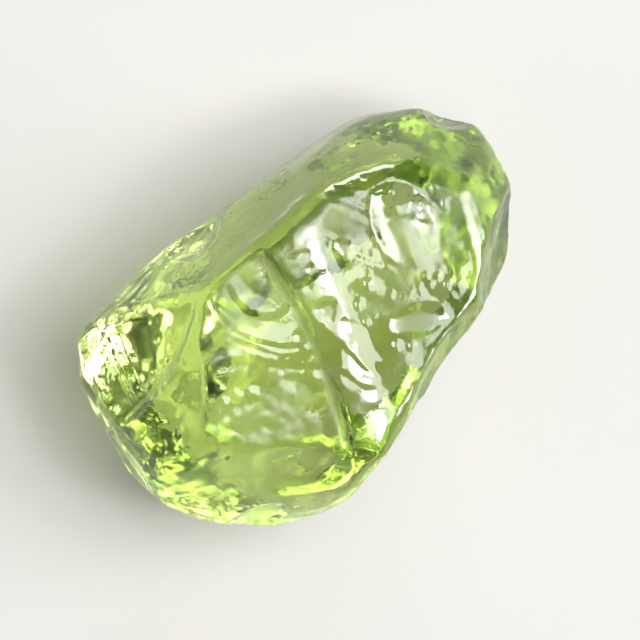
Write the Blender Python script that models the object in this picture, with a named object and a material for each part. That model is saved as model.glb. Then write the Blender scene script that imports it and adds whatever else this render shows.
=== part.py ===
"""Peridot crystal: one loose, sub-rounded olivine grain lying on a flat face.

The crystal is a single solid. A block is cut back by flat crystal and cleavage faces, its
edges and corners are worn round, and then shell-shaped hollows, growth ledges, chips and
pits are taken out of it.

Frame: metres, +Z up. +X runs along the crystal to its domed end, +Y across it.
The origin is under the middle of the crystal, on the face that it rests on.
"""

import math
import random

import bmesh
import bpy
from mathutils import Matrix, Vector, noise
from mathutils.bvhtree import BVHTree

MM = 0.001

NAME = "peridot_crystal"

# Driving sizes
LENGTH = 8.4 * MM
WIDTH = 5.25 * MM
HEIGHT = 5.0 * MM
SPARE = 1.5 * MM                     # how far the starting block stands outside the crystal
HEART = Vector((0, 0, 2.4)) * MM     # middle of the crystal, from which hollows are placed

# Worn edges: how deep each pass of wear cuts below a square edge, and how uneven it is
WEAR_PASSES = (0.20 * MM, 0.07 * MM)
WEAR_UNEVEN = 0.45
WEAR_PATCH = 1.3 * MM
FLAT_ANGLE = math.radians(7.0)       # edges flatter than this are left alone
SNAP = 0.0001 * MM

# Each face: compass direction in degrees anticlockwise from the domed end, distance of a
# point on it from the axis and height of that point in mm, and lean in degrees, where 0 is
# upright, 90 is level and a negative lean looks down.
SIDE_FACES = (
    (350.0, 4.00, 2.3, 12.0),
    (35.6, 3.88, 2.0, -8.0),
    (60.5, 3.26, 2.6, 9.0),
    (82.5, 2.59, 2.4, 7.0),
    (87.0, 2.51, 1.9, -9.0),
    (94.6, 2.77, 2.7, 5.0),
    (158.0, 4.45, 2.4, -3.0),
    (172.0, 4.20, 2.2, 10.0),
    (204.0, 4.00, 2.0, -6.0),
    (237.0, 3.46, 1.9, 13.0),
    (272.0, 2.56, 2.2, -4.0),
    (286.0, 2.11, 2.6, -5.0),
    (323.5, 3.40, 2.2, -10.0),
)
UPPER_FACES = (
    (228.0, 3.50, 2.9, 40.0),
    (151.0, 4.25, 2.9, 50.0),
    (91.0, 2.45, 3.2, 25.0),
    (58.0, 3.20, 3.0, 31.0),
    (12.0, 3.95, 2.8, 38.0),
    (330.0, 3.45, 2.8, 35.0),
)
LOWER_FACES = (
    (262.0, 2.75, 1.90, -22.0),
    (208.0, 3.85, 1.70, -26.0),
    (160.0, 4.25, 1.80, -20.0),
    (98.0, 2.62, 1.60, -24.0),
    (48.0, 3.48, 1.90, -26.0),
    (2.0, 4.00, 1.70, -22.0),
    (316.0, 3.05, 1.80, -28.0),
    (286.0, 2.05, 0.95, -50.0),
    (238.0, 2.85, 1.00, -46.0),
    (187.0, 3.60, 1.15, -52.0),
    (122.0, 2.30, 0.90, -44.0),
    (80.0, 2.12, 1.05, -49.0),
    (34.0, 2.80, 0.95, -50.0),
    (338.0, 2.72, 1.15, -45.0),
)

# The ridge that parts the long top face from the pale end face
RIDGE_HIGH = Vector((0.88, 1.72, 5.05)) * MM
RIDGE_LOW = Vector((-0.42, -2.05, 4.35)) * MM
TOP_FAR = Vector((-3.00, 0.50, 4.70)) * MM
END_FAR = Vector((3.20, 0.20, 3.75)) * MM

# Shell-shaped hollows in the faces, placed by the compass direction and lean of the line from
# the heart to the middle of each: radius of the ball that shaped it and its depth in mm, how
# far it is turned on the face in degrees and how narrow it is across
FACE_HOLLOWS = (
    (204.0, 64.0, 3.6, 0.13, 20.0, 0.62),
    (150.0, 53.0, 2.6, 0.12, 75.0, 0.55),
    (10.0, 41.0, 3.2, 0.11, 30.0, 0.70),
    (318.0, 46.0, 2.6, 0.07, 100.0, 0.50),
    (222.0, 36.0, 4.6, 0.12, 60.0, 0.80),
    (290.0, 8.0, 5.0, 0.16, 15.0, 0.70),
    (100.0, 6.0, 4.6, 0.14, 70.0, 0.75),
    (52.0, -22.0, 5.2, 0.20, 40.0, 0.60),
    (248.0, -18.0, 4.6, 0.17, 110.0, 0.65),
    (330.0, -30.0, 3.4, 0.16, 20.0, 0.70),
    (12.0, -34.0, 4.2, 0.15, 80.0, 0.55),
    (192.0, -26.0, 3.4, 0.17, 35.0, 0.70),
    (150.0, -32.0, 4.6, 0.17, 100.0, 0.55),
    (112.0, -46.0, 2.4, 0.13, 60.0, 0.75),
    (278.0, -40.0, 2.8, 0.14, 0.0, 0.70),
    (70.0, -48.0, 3.4, 0.13, 130.0, 0.60),
    (222.0, -44.0, 2.8, 0.14, 75.0, 0.75),
    (196.0, -62.0, 2.4, 0.09, 50.0, 0.60),
    (16.0, -68.0, 2.2, 0.07, 120.0, 0.70),
)

# Chips along the edges, given in the same way, but facing away from the heart
EDGE_CHIPS = (
    (104.0, 15.0, 3.0, 0.22, 80.0, 0.50),
    (293.0, 25.0, 9.0, 0.06, 20.0, 0.60),
    (325.0, 15.0, 6.0, 0.05, 140.0, 0.55),
    (147.0, 3.0, 5.0, 0.06, 15.0, 0.60),
    (216.0, 10.0, 4.0, 0.09, 75.0, 0.35),
    (20.0, 8.0, 3.5, 0.06, 90.0, 0.45),
    (268.0, -28.0, 3.5, 0.10, 80.0, 0.38),
)
HOLLOW_RINGS = 5
HOLLOW_SPOKES = 18

# Growth ledges, placed in the same way: how far the arc of the riser runs from the middle of
# its curve, its height, and the compass direction of its low side
LEDGES = (
    (233.0, 68.0, 9.0, 0.11, 161.0),
    (158.0, 33.0, 4.0, 0.07, 110.0),
    (283.0, -4.0, 5.0, 0.08, 200.0),
)
LEDGE_TALL = 1.5 * MM
LEDGE_SIDES = 72

# Small pits, scattered over all faces but the one that the crystal rests on
PIT_SEED = 11
PIT_COUNT = 14
PIT_RADIUS = (0.35 * MM, 0.75 * MM)
PIT_NARROW = (0.50, 0.80)    # width of a pit as a share of its length
PIT_DEPTH = 0.06             # share of the radius
PIT_UNEVEN = 0.75            # how far the outline of a pit strays from an oval
PIT_SPACING = 0.9 * MM
PIT_SPOKES = 17
PIT_RINGS = 26
PIT_LEANS = (-60.0, 90.0)    # pits are looked for between these leans, seen from the heart
PIT_LOWEST = -0.85           # no pit where the surface looks further down than this

# Clear yellow green
COLOUR = (0.46, 0.58, 0.15, 1.0)
ROUGHNESS = 0.12
REFRACTION = 1.67


def clear_scene():
    """Removes whatever the file held."""
    for thing in list(bpy.data.objects):
        bpy.data.objects.remove(thing, do_unlink=True)


def direction(azimuth, lean):
    """Unit vector at a compass direction in degrees, lifted from level by lean degrees."""
    turn = math.radians(azimuth)
    lift = math.radians(lean)
    return Vector((math.cos(turn) * math.cos(lift), math.sin(turn) * math.cos(lift), math.sin(lift)))


def new_collection(name):
    collection = bpy.data.collections.new(name)
    bpy.context.scene.collection.children.link(collection)
    return collection


def cut_facet(shape, point, normal):
    """Cuts a convex shape back to one plane and closes it with a flat face."""
    everything = shape.verts[:] + shape.edges[:] + shape.faces[:]
    bmesh.ops.bisect_plane(
        shape, geom=everything, dist=SNAP, plane_co=point, plane_no=normal, clear_outer=True)
    rim = [edge for edge in shape.edges if edge.is_boundary]
    bmesh.ops.holes_fill(shape, edges=rim)


def plane_normal(first, second, third):
    """Upward normal of the plane through three points."""
    normal = (second - first).cross(third - first).normalized()
    return normal if normal.z > 0 else -normal


def rough_block():
    """A block a little larger than the crystal, standing on the resting face."""
    shape = bmesh.new()
    size = Vector((LENGTH + 2 * SPARE, WIDTH + 2 * SPARE, HEIGHT + SPARE))
    placed = Matrix.Translation((0, 0, size.z / 2)) @ Matrix.Diagonal(size.to_4d())
    bmesh.ops.create_cube(shape, size=1.0, matrix=placed)
    return shape


def cut_faces(shape, faces):
    """Cuts a list of crystal faces."""
    for azimuth, reach, height, lean in faces:
        point = direction(azimuth, 0) * reach * MM + Vector((0, 0, height * MM))
        cut_facet(shape, point, direction(azimuth, lean))


def cut_top(shape):
    """Cuts the long top face and the end face, which meet in the ridge."""
    cut_facet(shape, RIDGE_HIGH, plane_normal(RIDGE_HIGH, RIDGE_LOW, TOP_FAR))
    cut_facet(shape, RIDGE_HIGH, plane_normal(RIDGE_HIGH, RIDGE_LOW, END_FAR))


def wear_edges(shape, depth):
    """Takes the crest off every sharp edge, as tumbling does, the sharpest ones the most."""
    shape.normal_update()
    planes = []
    for edge in shape.edges:
        angle = edge.calc_face_angle()
        if angle < FLAT_ANGLE:
            continue
        one, other = edge.link_faces
        normal = (one.normal + other.normal).normalized()
        middle = (edge.verts[0].co + edge.verts[1].co) / 2
        patch = 1 + WEAR_UNEVEN * noise.noise(middle / WEAR_PATCH)
        planes.append((middle - normal * depth * patch * math.sin(angle / 2), normal))
    for point, normal in planes:
        cut_facet(shape, point, normal)


def wire_object(name, shape, collection, placed):
    """Makes a cutter, which is drawn as wire and left out of renders."""
    mesh = bpy.data.meshes.new(name)
    shape.to_mesh(mesh)
    shape.free()
    cutter = bpy.data.objects.new(name, mesh)
    cutter.matrix_world = placed
    cutter.display_type = "WIRE"
    cutter.hide_render = True
    collection.objects.link(cutter)
    return cutter


def facing(point, outward):
    """Places a shape at a point with its own Z axis along outward."""
    return Matrix.Translation(point) @ outward.to_track_quat("Z", "Y").to_matrix().to_4x4()


def hollow_ball(radius, depth):
    """A sphere about the origin whose rings are close enough to leave a smooth hollow."""
    cap = math.acos(1 - depth / radius)
    rings = math.ceil(math.pi / cap * HOLLOW_RINGS)
    ball = bmesh.new()
    bmesh.ops.create_uvsphere(ball, u_segments=HOLLOW_SPOKES, v_segments=rings, radius=radius)
    return ball


def squeezed(turn, narrow):
    """Makes a shape narrow across its Z axis and turns it about that axis, in degrees."""
    return Matrix.Rotation(math.radians(turn), 4, "Z") @ Matrix.Diagonal((1, narrow, 1, 1))


def hollow(name, collection, touch, outward, radius, depth, turn, narrow):
    """A ball, squeezed across, that reaches to a depth below the surface it touches."""
    ball = hollow_ball(radius, depth)
    bmesh.ops.transform(ball, matrix=squeezed(turn, narrow), verts=ball.verts)
    centre = touch + outward * (radius - depth)
    return wire_object(name, ball, collection, facing(centre, outward))


def ledge(name, collection, touch, outward, radius, height, low_side):
    """A wide cone whose flat end shaves the face and whose flank leaves a curved riser."""
    cone = bmesh.new()
    bmesh.ops.create_cone(
        cone, cap_ends=True, segments=LEDGE_SIDES,
        radius1=radius, radius2=radius + LEDGE_TALL, depth=LEDGE_TALL)
    heading = direction(low_side, 0)
    along = (heading - outward * heading.dot(outward)).normalized()
    centre = touch + along * radius + outward * (LEDGE_TALL / 2 - height)
    return wire_object(name, cone, collection, facing(centre, outward))


def add_pebble(balls, radius, number, placed):
    """Adds a ball whose outline, seen along its Z axis, swells and shrinks unevenly."""
    made = bmesh.ops.create_uvsphere(
        balls, u_segments=PIT_SPOKES, v_segments=PIT_RINGS, radius=radius)
    for vertex in made["verts"]:
        side = Vector((vertex.co.x, vertex.co.y, 0)).normalized()
        swell = 1 + PIT_UNEVEN * noise.noise(side + Vector((0, 0, number)) * 1.7)
        vertex.co.x *= swell
        vertex.co.y *= swell
    bmesh.ops.transform(balls, matrix=placed, verts=made["verts"])


def pits(collection, surface):
    """All the pits as one cutter of separate pebbles, none of them near another."""
    draw = random.Random(PIT_SEED)
    draw_oval = random.Random(PIT_SEED)
    balls = bmesh.new()
    placed = []
    while len(placed) < PIT_COUNT:
        outward = direction(draw.uniform(0, 360), draw.uniform(*PIT_LEANS))
        radius = draw.uniform(*PIT_RADIUS)
        touch, normal, _, _ = surface.ray_cast(HEART, outward)
        clear = all((touch - other).length > PIT_SPACING for other in placed)
        if normal.z > PIT_LOWEST and clear:
            placed.append(touch)
            centre = touch + normal * radius * (1 - PIT_DEPTH)
            oval = squeezed(draw_oval.uniform(0, 180), draw_oval.uniform(*PIT_NARROW))
            add_pebble(balls, radius, len(placed), facing(centre, normal) @ oval)
    return wire_object("pits", balls, collection, Matrix())


def subtract(crystal, cutter):
    cut = crystal.modifiers.new(cutter.name, "BOOLEAN")
    cut.operation = "DIFFERENCE"
    cut.solver = "EXACT"
    cut.object = cutter


def cut_hollows(crystal, surface, collection):
    for number, (azimuth, lean, radius, depth, turn, narrow) in enumerate(FACE_HOLLOWS):
        touch, outward, _, _ = surface.ray_cast(HEART, direction(azimuth, lean))
        name = f"face_hollow_{number}"
        subtract(crystal, hollow(name, collection, touch, outward, radius * MM, depth * MM, turn, narrow))


def cut_chips(crystal, surface, collection):
    for number, (azimuth, lean, radius, depth, turn, narrow) in enumerate(EDGE_CHIPS):
        outward = direction(azimuth, lean)
        touch, _, _, _ = surface.ray_cast(HEART, outward)
        name = f"edge_chip_{number}"
        subtract(crystal, hollow(name, collection, touch, outward, radius * MM, depth * MM, turn, narrow))


def cut_ledges(crystal, surface, collection):
    for number, (azimuth, lean, radius, height, low_side) in enumerate(LEDGES):
        touch, outward, _, _ = surface.ray_cast(HEART, direction(azimuth, lean))
        name = f"ledge_{number}"
        subtract(crystal, ledge(name, collection, touch, outward, radius * MM, height * MM, low_side))


def worn_body():
    """The crystal's faces with worn edges, before anything is taken out of them."""
    shape = rough_block()
    cut_faces(shape, SIDE_FACES)
    cut_faces(shape, UPPER_FACES)
    cut_faces(shape, LOWER_FACES)
    cut_top(shape)
    for depth in WEAR_PASSES:
        wear_edges(shape, depth)
    return shape


def clear_green():
    """The crystal's material."""
    material = bpy.data.materials.new("peridot")
    material.use_nodes = True
    shader = material.node_tree.nodes["Principled BSDF"]
    shader.inputs["Base Color"].default_value = COLOUR
    shader.inputs["Roughness"].default_value = ROUGHNESS
    shader.inputs["Metallic"].default_value = 0.0
    shader.inputs["IOR"].default_value = REFRACTION
    shader.inputs["Transmission Weight"].default_value = 1.0
    return material


def build_crystal():
    shape = worn_body()
    surface = BVHTree.FromBMesh(shape)
    mesh = bpy.data.meshes.new(NAME)
    shape.to_mesh(mesh)
    shape.free()
    mesh.materials.append(clear_green())
    crystal = bpy.data.objects.new(NAME, mesh)
    new_collection("peridot crystal").objects.link(crystal)
    cutters = new_collection("cutters")
    cut_hollows(crystal, surface, cutters)
    cut_ledges(crystal, surface, cutters)
    cut_chips(crystal, surface, cutters)
    subtract(crystal, pits(cutters, surface))
    return crystal


def stand_on_origin(crystal):
    """Moves the crystal and its cutters so that the finished box is centred over the origin."""
    bpy.context.view_layer.update()
    finished = crystal.evaluated_get(bpy.context.evaluated_depsgraph_get())
    mesh = finished.to_mesh()
    xs = [vertex.co.x for vertex in mesh.vertices]
    ys = [vertex.co.y for vertex in mesh.vertices]
    finished.to_mesh_clear()
    middle = Vector((min(xs) + max(xs), min(ys) + max(ys), 0)) / 2
    for thing in bpy.data.objects:
        thing.location -= middle


clear_scene()
stand_on_origin(build_crystal())
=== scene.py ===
"""Looks of the peridot crystal: a fine clear green mesh in place of the plain solid."""

import math
import random

import bmesh
import bpy
import numpy as np
from mathutils import Matrix, Vector, kdtree, noise


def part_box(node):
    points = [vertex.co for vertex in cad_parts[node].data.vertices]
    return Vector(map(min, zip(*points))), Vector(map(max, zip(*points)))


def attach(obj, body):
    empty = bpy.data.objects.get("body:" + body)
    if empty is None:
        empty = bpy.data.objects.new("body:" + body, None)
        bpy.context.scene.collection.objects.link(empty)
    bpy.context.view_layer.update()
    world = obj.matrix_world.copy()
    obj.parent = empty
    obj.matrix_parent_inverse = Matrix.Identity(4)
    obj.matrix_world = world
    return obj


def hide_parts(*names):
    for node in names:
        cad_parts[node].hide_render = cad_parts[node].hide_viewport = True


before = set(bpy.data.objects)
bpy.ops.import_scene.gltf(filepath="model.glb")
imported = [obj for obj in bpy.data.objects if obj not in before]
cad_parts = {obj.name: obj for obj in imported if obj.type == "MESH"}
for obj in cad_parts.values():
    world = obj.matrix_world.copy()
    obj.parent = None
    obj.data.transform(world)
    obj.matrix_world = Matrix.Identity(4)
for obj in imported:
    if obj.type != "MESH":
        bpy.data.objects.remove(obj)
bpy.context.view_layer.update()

MM = 0.001
NODE = "peridot_crystal"

# Fine net over the solid: closest that two corners may be, size of a face, first smoothing, and
# how far one smoothing pass moves a vertex towards the mean of its neighbours
WELD = 0.0005 * MM
VOXEL = 0.043 * MM
SMOOTH_PASSES = 2
SMOOTH_SHARE = 0.5

# Convex edges: they stand above the surface smoothed this often, fully so at this height
CREST_PASSES = 6
CREST_FULL = 0.010 * MM

# Small pits: they lie below the surface smoothed this often, between these depths
RECESS_PASSES = 40
RECESS_START = 0.006 * MM
RECESS_RANGE = 0.008 * MM
MASK_PASSES = 4

# Edges wander from a straight line: length and reach of a bend
WANDER_SEED = 1
WANDER = (0.42 * MM, 0.040 * MM)

# Waves left by growth and wear: size and height of a wave
WAVES = ((1.7 * MM, 0.014 * MM), (0.80 * MM, 0.009 * MM), (0.22 * MM, 0.0018 * MM))

# Steps that cleavage leaves: width and height of a step, the share of it that its riser takes,
# how far the steps wander and how uneven they are, counted in steps, the way in which they follow
# one another, and how sharply they fade on a face that looks along that way
STEP_WIDTH = 0.44 * MM
STEP_HEIGHT = 0.014 * MM
STEP_RISER = 0.20
STEP_WANDER = 2.4
STEP_UNEVEN = 1.1
STEP_WAY = Vector((0.86, 0.42, 0.28)).normalized()
STEP_FADE = 4

# The patches that have steps, and the noise levels between which a patch comes in
STEP_PATCH = 1.5 * MM
STEP_PATCH_START = -0.15
STEP_PATCH_RANGE = 0.3

# Small rough relief: size and height, and the patches that have it
HACKLE = (0.16 * MM, 0.0075 * MM)
HACKLE_PATCH = 1.1 * MM
HACKLE_PATCH_START = 0.05
HACKLE_PATCH_RANGE = 0.2

# Nicks in the edges: size and depth; the share of all other fine relief that an edge loses
EDGE_NICKS = (0.26 * MM, 0.024 * MM)
EDGE_CALM = 0.7

# Round pits: radius, depth as a share of it, and the patches that have them. No pit lies where the
# surface looks down more steeply than the limit.
PIT_SEED = 5
PIT_COUNT = 260
PIT_RADIUS = (0.05 * MM, 0.12 * MM)
PIT_DEPTH = 0.16
PIT_PATCH = 1.5 * MM
PIT_PATCH_LEVELS = (-0.3, 0.3)
PIT_DOWN_LIMIT = -0.98

# Shell-shaped ripples, angles in degrees and lengths in mm: compass direction and lean of the strike
# point seen from the heart, the same for the way that the rippled face looks, reach and spacing of
# the rings, height of them
RIPPLES = (
    (258.0, 43.0, 320.0, 63.0, 4.2, 0.42, 0.0070),
    (200.0, 38.0, 255.0, 81.0, 3.0, 0.34, 0.0045),
    (262.0, 12.0, 228.0, 40.0, 2.6, 0.30, 0.0045),
    (272.0, 20.0, 290.0, 0.0, 3.2, 0.26, 0.0045),
    (140.0, 22.0, 95.0, 5.0, 3.4, 0.30, 0.0045),
    (180.0, 25.0, 185.0, 0.0, 2.4, 0.22, 0.0040),
)

# Cosines of the angle off a rippled face between which its ripples come in
RIPPLE_FACE_START = 0.93
RIPPLE_FACE_RANGE = 0.05

# How far the rings drift, in rings, and over what length; how many swells of the noise make one
# ring; and a gain, because the noise seldom reaches its full height
RING_DRIFT = 0.8
RING_DRIFT_PATCH = 0.9 * MM
RING_RATE = 1.6
RING_GAIN = 2.2

# Noise along a line: distance between its stops, swells in one step, and where the line runs
LINE_STOP = 0.1
LINE_RATE = 0.7
LINE_PLACE = (3.3, 1.7)

# Shifts that keep one kind of relief from following another
STEP_SHIFT = 5.9 * MM
STEP_PATCH_SHIFT = -4.7 * MM
HACKLE_PATCH_SHIFT = 3.1 * MM
NICK_SHIFT = 7.3 * MM
RING_SHIFT = 2.3 * MM

# Clear green
REFRACTION = 1.67
GLASS_COLOUR = (0.855, 0.95, 0.50, 1.0)
GLASS_DENSITY = 370.0

# Tint of the surface itself: clear, and faintly stained in patches
CLEAR_TINT = (1.0, 1.0, 1.0, 1.0)
STAIN_TINT = (0.96, 0.93, 0.80, 1.0)
STAIN_PATCH = 2.1 * MM
STAIN_DETAIL = 4.0
STAIN_START = 0.44
STAIN_FULL = 0.66

# Roughness of the clear faces, and how much rougher frost, worn edges and pits are
POLISH = 0.04
FROST_ROUGHER = 0.16
WEAR_ROUGHER = 0.14
RECESS_ROUGHER = 0.40
WEAR_MASK = "wear"
RECESS_MASK = "recess"

# Patches of frost
FROST_PATCH = 1.5 * MM
FROST_DETAIL = 3.0
FROST_START = 0.46
FROST_FULL = 0.62

# Grain of the surface, finer than the net
GRAIN_SIZE = 0.06 * MM
GRAIN_DETAIL = 2.0
GRAIN_HEIGHT = 0.003 * MM
GRAIN_STRENGTH = 0.35

# Photograph: how far the picture is turned against the crystal's long axis, and the framing
PHOTO_ROLL = math.radians(40.0)
CAMERA_HEIGHT = 120 * MM
CAMERA_NEAR = 1 * MM
FRAME_WIDTH = 11.2 * MM
SENSOR = 36.0

# Plain pale floor, just under the crystal
FLOOR_SIZE = 3.0
FLOOR_GAP = 0.02 * MM
FLOOR_COLOUR = (0.585, 0.572, 0.546, 1.0)
FLOOR_ROUGHNESS = 0.85

# Softboxes: azimuth in the picture, anticlockwise from its right side, and lift above the floor in
# degrees, distance, width and height in metres, power in watts
SOFTBOXES = (
    ("key", 10, 63, 0.30, 0.20, 0.26, 1.12),
    ("spark", 345, 60, 0.30, 0.045, 0.045, 0.16),
    ("low_right", 5, 16, 0.30, 0.20, 0.07, 0.58),
    ("low_top", 75, 16, 0.30, 0.14, 0.06, 0.30),
    ("fill", 195, 38, 0.40, 0.30, 0.20, 0.12),
)
STUDIO_COLOUR = (0.93, 0.96, 1.0, 1.0)
STUDIO_STRENGTH = 0.14


def direction(azimuth, lean):
    """Unit vector at a compass direction in degrees, lifted from level by lean degrees."""
    turn = math.radians(azimuth)
    lift = math.radians(lean)
    return Vector((math.cos(turn) * math.cos(lift), math.sin(turn) * math.cos(lift), math.sin(lift)))


def copied_solid():
    """A welded copy of the solid's surface as a new object."""
    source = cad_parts[NODE]
    shape = bmesh.new()
    shape.from_mesh(source.data)
    bmesh.ops.remove_doubles(shape, verts=shape.verts, dist=WELD)
    mesh = bpy.data.meshes.new("fine_crystal")
    shape.to_mesh(mesh)
    shape.free()
    fine = bpy.data.objects.new("fine_crystal", mesh)
    bpy.context.scene.collection.objects.link(fine)
    return fine


def remesh(fine):
    """Turns the surface into an even net of small faces. It works at a thousand times the size,
    because the modifier takes no voxel under 0.1 mm."""
    fine.data.transform(Matrix.Scale(1 / MM, 4))
    net = fine.modifiers.new("net", "REMESH")
    net.mode = "VOXEL"
    net.voxel_size = VOXEL / MM
    net.use_smooth_shade = True
    depsgraph = bpy.context.evaluated_depsgraph_get()
    finished = bpy.data.meshes.new_from_object(fine.evaluated_get(depsgraph))
    fine.modifiers.clear()
    finished.transform(Matrix.Scale(MM, 4))
    old = fine.data
    fine.data = finished
    bpy.data.meshes.remove(old)
    finished.name = "fine_crystal"


def vectors(items, field):
    """One row of three numbers for each item of a mesh."""
    flat = np.empty(len(items) * 3)
    items.foreach_get(field, flat)
    return flat.reshape(-1, 3)


def outward_normals(mesh):
    return vectors(mesh.vertex_normals, "vector")


def move_vertices(mesh, points):
    mesh.vertices.foreach_set("co", points.ravel())
    mesh.update()


def edge_ends(mesh):
    ends = np.empty(len(mesh.edges) * 2, dtype=np.int64)
    mesh.edges.foreach_get("vertices", ends)
    return ends.reshape(-1, 2).T


def neighbour_mean(values, ends):
    """Mean of each vertex's neighbours, for one number or one vector a vertex."""
    count = len(values)
    one, other = ends
    links = np.bincount(one, minlength=count) + np.bincount(other, minlength=count)
    columns = values.reshape(count, -1)
    total = np.stack([
        np.bincount(one, weights=column[other], minlength=count)
        + np.bincount(other, weights=column[one], minlength=count)
        for column in columns.T], axis=1)
    return (total / links[:, None]).reshape(values.shape)


def smooth(values, ends, passes):
    for _ in range(passes):
        values = values + (neighbour_mean(values, ends) - values) * SMOOTH_SHARE
    return values


def height_over(points, base, outward):
    """How far each point stands above its place on another surface."""
    return ((points - base) * outward).sum(axis=1)


def share_above(values, start, length):
    """0 up to start, 1 from start + length on, and an even climb between."""
    return np.clip((values - start) / length, 0, 1)


def crest_mask(points, outward, ends):
    """How far each vertex stands on a convex edge: 0 on a face, towards 1 on an edge."""
    height = height_over(points, smooth(points, ends, CREST_PASSES), outward)
    return share_above(smooth(height, ends, MASK_PASSES), 0, CREST_FULL)


def recess_mask(points, outward, ends):
    """How far each vertex lies down in a pit: 0 on a face or a wide hollow, 1 in a small pit."""
    depth = height_over(smooth(points, ends, RECESS_PASSES), points, outward)
    return share_above(smooth(depth, ends, MASK_PASSES), RECESS_START, RECESS_RANGE)


def noise_field(points, size, shift=0.0):
    return np.array([noise.noise(Vector(point)) for point in (points + shift) / size])


def wander(points, outward):
    """Small shifts along the surface, so that no edge is quite straight."""
    size, reach = WANDER
    noise.seed_set(WANDER_SEED)
    shift = np.array([noise.noise_vector(Vector(point)) for point in points / size]) * reach
    return shift - outward * (shift * outward).sum(axis=1)[:, None]


def uneven(places):
    """Soft noise along a line, for places counted in steps or rings."""
    stops = np.arange(places.min(), places.max() + LINE_STOP, LINE_STOP)
    heights = np.array([noise.noise(Vector((stop * LINE_RATE, *LINE_PLACE))) for stop in stops])
    return np.interp(places, stops, heights)


def wave_relief(points):
    relief = np.zeros(len(points))
    for size, height in WAVES:
        relief += noise_field(points, size) * height
    return relief


def step_relief(points, outward):
    """Steps one behind the other, which fade out on faces that look along their way."""
    way = np.array(STEP_WAY)
    place = points @ way / STEP_WIDTH + noise_field(points, STEP_PATCH, STEP_SHIFT) * STEP_WANDER
    place += uneven(place) * STEP_UNEVEN
    across = place - np.floor(place)
    climb = share_above(across, 0, STEP_RISER)
    rounded_climb = climb * climb * (3 - 2 * climb)
    seen = 1 - (outward @ way) ** STEP_FADE
    patches = noise_field(points, STEP_PATCH, STEP_PATCH_SHIFT)
    patches = share_above(patches, STEP_PATCH_START, STEP_PATCH_RANGE)
    return (rounded_climb - across) * STEP_HEIGHT * seen * patches


def hackle_relief(points):
    """Patches of small rough relief between the clear faces."""
    size, height = HACKLE
    patches = noise_field(points, HACKLE_PATCH, HACKLE_PATCH_SHIFT)
    patches = share_above(patches, HACKLE_PATCH_START, HACKLE_PATCH_RANGE)
    return noise_field(points, size) * height * patches


def nick_relief(points, crest):
    size, depth = EDGE_NICKS
    field = noise_field(points, size, NICK_SHIFT)
    return -np.clip(field, 0, 1) * depth * crest


def strike_points(points):
    """Where each set of ripples starts on the surface, and the way that its face looks."""
    low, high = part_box(NODE)
    rays = points - np.array((low + high) / 2)
    rays /= np.linalg.norm(rays, axis=1)[:, None]
    found = []
    for azimuth, lean, face_azimuth, face_lean, reach, spacing, height in RIPPLES:
        number = int(np.argmax(rays @ np.array(direction(azimuth, lean))))
        facing = np.array(direction(face_azimuth, face_lean))
        found.append((points[number], facing, reach * MM, spacing * MM, height * MM))
    return found


def ripple_relief(points, outward):
    """Rings about each strike point, on the face that it belongs to."""
    relief = np.zeros(len(points))
    drift = noise_field(points, RING_DRIFT_PATCH, RING_SHIFT) * RING_DRIFT
    for touch, facing, reach, spacing, height in strike_points(points):
        away = np.linalg.norm(points - touch, axis=1)
        aligned = share_above(outward @ facing, RIPPLE_FACE_START, RIPPLE_FACE_RANGE)
        fade = np.clip(1 - away / reach, 0, 1)
        ring = away / spacing + drift
        relief += uneven(ring / LINE_RATE * RING_RATE) * height * RING_GAIN * fade * aligned
    return relief


def pit_relief(points, outward):
    """Small round pits, in patches, none on the resting face."""
    draw = random.Random(PIT_SEED)
    tree = kdtree.KDTree(len(points))
    for number, point in enumerate(points):
        tree.insert(point, number)
    tree.balance()
    relief = np.zeros(len(points))
    made = 0
    while made < PIT_COUNT:
        middle = draw.randrange(len(points))
        radius = draw.uniform(*PIT_RADIUS)
        patch = noise.noise(Vector(points[middle]) / PIT_PATCH)
        if outward[middle][2] < PIT_DOWN_LIMIT or patch < draw.uniform(*PIT_PATCH_LEVELS):
            continue
        made += 1
        for _, number, away in tree.find_range(points[middle], radius):
            share = 1 - (away / radius) ** 2
            relief[number] = min(relief[number], -radius * PIT_DEPTH * share * share)
    return relief


def add_relief(fine):
    """Smooths the net, lets its edges wander, and moves its vertices into steps, hackle, pits,
    ripples, waves and nicks. The masks of worn edges and of pits stay on the mesh."""
    mesh = fine.data
    ends = edge_ends(mesh)
    points = smooth(vectors(mesh.vertices, "co"), ends, SMOOTH_PASSES)
    move_vertices(mesh, points)
    points = points + wander(points, outward_normals(mesh))
    move_vertices(mesh, points)
    outward = outward_normals(mesh)
    crest = crest_mask(points, outward, ends)
    recess = recess_mask(points, outward, ends)
    relief = step_relief(points, outward) + hackle_relief(points) + pit_relief(points, outward)
    relief += ripple_relief(points, outward)
    relief *= 1 - EDGE_CALM * crest
    relief += wave_relief(points) + nick_relief(points, crest)
    points = points + outward * relief[:, None]
    points[:, 2] = np.maximum(points[:, 2], 0.0)
    move_vertices(mesh, points)
    for name, mask in ((WEAR_MASK, crest), (RECESS_MASK, recess)):
        attribute = mesh.attributes.new(name, "FLOAT", "POINT")
        attribute.data.foreach_set("value", mask.astype(np.float32))


def add_noise(tree, size, detail):
    """Soft patches of a given size over the crystal."""
    place = tree.nodes.new("ShaderNodeTexCoord")
    patches = tree.nodes.new("ShaderNodeTexNoise")
    patches.inputs["Scale"].default_value = 1 / size
    patches.inputs["Detail"].default_value = detail
    tree.links.new(place.outputs["Object"], patches.inputs["Vector"])
    return patches.outputs["Fac"]


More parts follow.
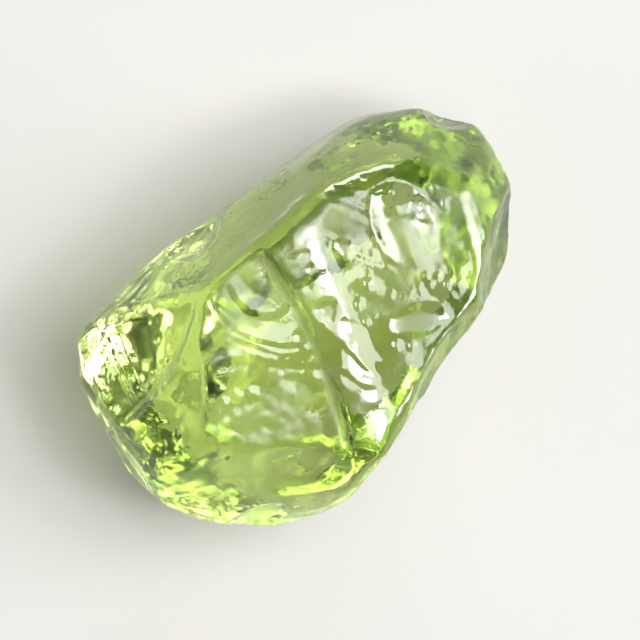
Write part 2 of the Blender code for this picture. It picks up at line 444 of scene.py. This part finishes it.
def add_ramp(tree, value, low, high, start, end):
    """Turns the stretch from low to high into the stretch from start to end."""
    ramp = tree.nodes.new("ShaderNodeMapRange")
    ramp.inputs["From Min"].default_value = low
    ramp.inputs["From Max"].default_value = high
    ramp.inputs["To Min"].default_value = start
    ramp.inputs["To Max"].default_value = end
    tree.links.new(value, ramp.inputs["Value"])
    return ramp.outputs["Result"]


def add_mask(tree, name, most):
    """A mask kept on the mesh, turned into an amount from 0 to most."""
    mask = tree.nodes.new("ShaderNodeAttribute")
    mask.attribute_name = name
    return add_ramp(tree, mask.outputs["Fac"], 0.0, 1.0, 0.0, most)


def add_sum(tree, one, other):
    total = tree.nodes.new("ShaderNodeMath")
    total.operation = "ADD"
    tree.links.new(one, total.inputs[0])
    tree.links.new(other, total.inputs[1])
    return total.outputs["Value"]


def surface_roughness(tree):
    """Clear faces with patches of frost, rubbed edges and frosted pits."""
    patches = add_noise(tree, FROST_PATCH, FROST_DETAIL)
    frost = add_ramp(tree, patches, FROST_START, FROST_FULL, POLISH, POLISH + FROST_ROUGHER)
    rubbed = add_mask(tree, WEAR_MASK, WEAR_ROUGHER)
    recessed = add_mask(tree, RECESS_MASK, RECESS_ROUGHER)
    return add_sum(tree, add_sum(tree, frost, rubbed), recessed)


def surface_tint(tree):
    """Clear, with a faint warm stain in patches."""
    ramp = tree.nodes.new("ShaderNodeValToRGB")
    clear, stained = ramp.color_ramp.elements
    clear.position = STAIN_START
    clear.color = CLEAR_TINT
    stained.position = STAIN_FULL
    stained.color = STAIN_TINT
    tree.links.new(add_noise(tree, STAIN_PATCH, STAIN_DETAIL), ramp.inputs["Fac"])
    return ramp.outputs["Color"]


def surface_grain(tree):
    bump = tree.nodes.new("ShaderNodeBump")
    bump.inputs["Strength"].default_value = GRAIN_STRENGTH
    bump.inputs["Distance"].default_value = GRAIN_HEIGHT
    tree.links.new(add_noise(tree, GRAIN_SIZE, GRAIN_DETAIL), bump.inputs["Height"])
    return bump.outputs["Normal"]


def crystal_material():
    """Clear peridot: light bends at its surface and turns green on its way through."""
    material = bpy.data.materials.new("peridot")
    material.use_nodes = True
    tree = material.node_tree
    shader = tree.nodes["Principled BSDF"]
    shader.inputs["Transmission Weight"].default_value = 1.0
    shader.inputs["IOR"].default_value = REFRACTION
    tree.links.new(surface_tint(tree), shader.inputs["Base Color"])
    tree.links.new(surface_roughness(tree), shader.inputs["Roughness"])
    tree.links.new(surface_grain(tree), shader.inputs["Normal"])
    absorption = tree.nodes.new("ShaderNodeVolumeAbsorption")
    absorption.inputs["Color"].default_value = GLASS_COLOUR
    absorption.inputs["Density"].default_value = GLASS_DENSITY
    tree.links.new(absorption.outputs["Volume"], tree.nodes["Material Output"].inputs["Volume"])
    return material


def build_crystal():
    fine = copied_solid()
    remesh(fine)
    add_relief(fine)
    fine.data.materials.clear()
    fine.data.materials.append(crystal_material())
    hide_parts(NODE)
    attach(fine, "root")


def floor_material():
    pale = bpy.data.materials.new("pale_floor")
    pale.use_nodes = True
    shader = pale.node_tree.nodes["Principled BSDF"]
    shader.inputs["Base Color"].default_value = FLOOR_COLOUR
    shader.inputs["Roughness"].default_value = FLOOR_ROUGHNESS
    return pale


def build_floor():
    mesh = bpy.data.meshes.new("floor")
    shape = bmesh.new()
    bmesh.ops.create_grid(shape, x_segments=1, y_segments=1, size=FLOOR_SIZE / 2)
    shape.to_mesh(mesh)
    shape.free()
    floor = bpy.data.objects.new("floor", mesh)
    floor.location.z = -FLOOR_GAP
    bpy.context.scene.collection.objects.link(floor)
    mesh.materials.append(floor_material())


def add_softbox(name, azimuth, lift, distance, width, height, power):
    """A soft rectangular light that faces the crystal."""
    spot = direction(azimuth - math.degrees(PHOTO_ROLL), lift) * distance
    light = bpy.data.lights.new(name, "AREA")
    light.shape = "RECTANGLE"
    light.size = width
    light.size_y = height
    light.energy = power
    lamp = bpy.data.objects.new(name, light)
    facing = spot.to_track_quat("Z", "Y").to_matrix().to_4x4()
    lamp.matrix_world = Matrix.Translation(spot) @ facing
    bpy.context.scene.collection.objects.link(lamp)


def light_scene():
    for softbox in SOFTBOXES:
        add_softbox(*softbox)
    world = bpy.data.worlds.new("studio")
    bpy.context.scene.world = world
    world.use_nodes = True
    background = world.node_tree.nodes["Background"]
    background.inputs["Color"].default_value = STUDIO_COLOUR
    background.inputs["Strength"].default_value = STUDIO_STRENGTH
    bpy.context.scene.view_settings.view_transform = "Standard"


def add_camera():
    """Straight down, turned so that the crystal lies as in the photograph."""
    data = bpy.data.cameras.new("camera")
    data.sensor_width = SENSOR
    data.lens = SENSOR * CAMERA_HEIGHT / FRAME_WIDTH
    data.clip_start = CAMERA_NEAR
    camera = bpy.data.objects.new("camera", data)
    roll = Matrix.Rotation(-PHOTO_ROLL, 4, "Z")
    camera.matrix_world = Matrix.Translation((0, 0, CAMERA_HEIGHT)) @ roll
    bpy.context.scene.collection.objects.link(camera)
    bpy.context.scene.camera = camera


build_crystal()
build_floor()
light_scene()
add_camera()
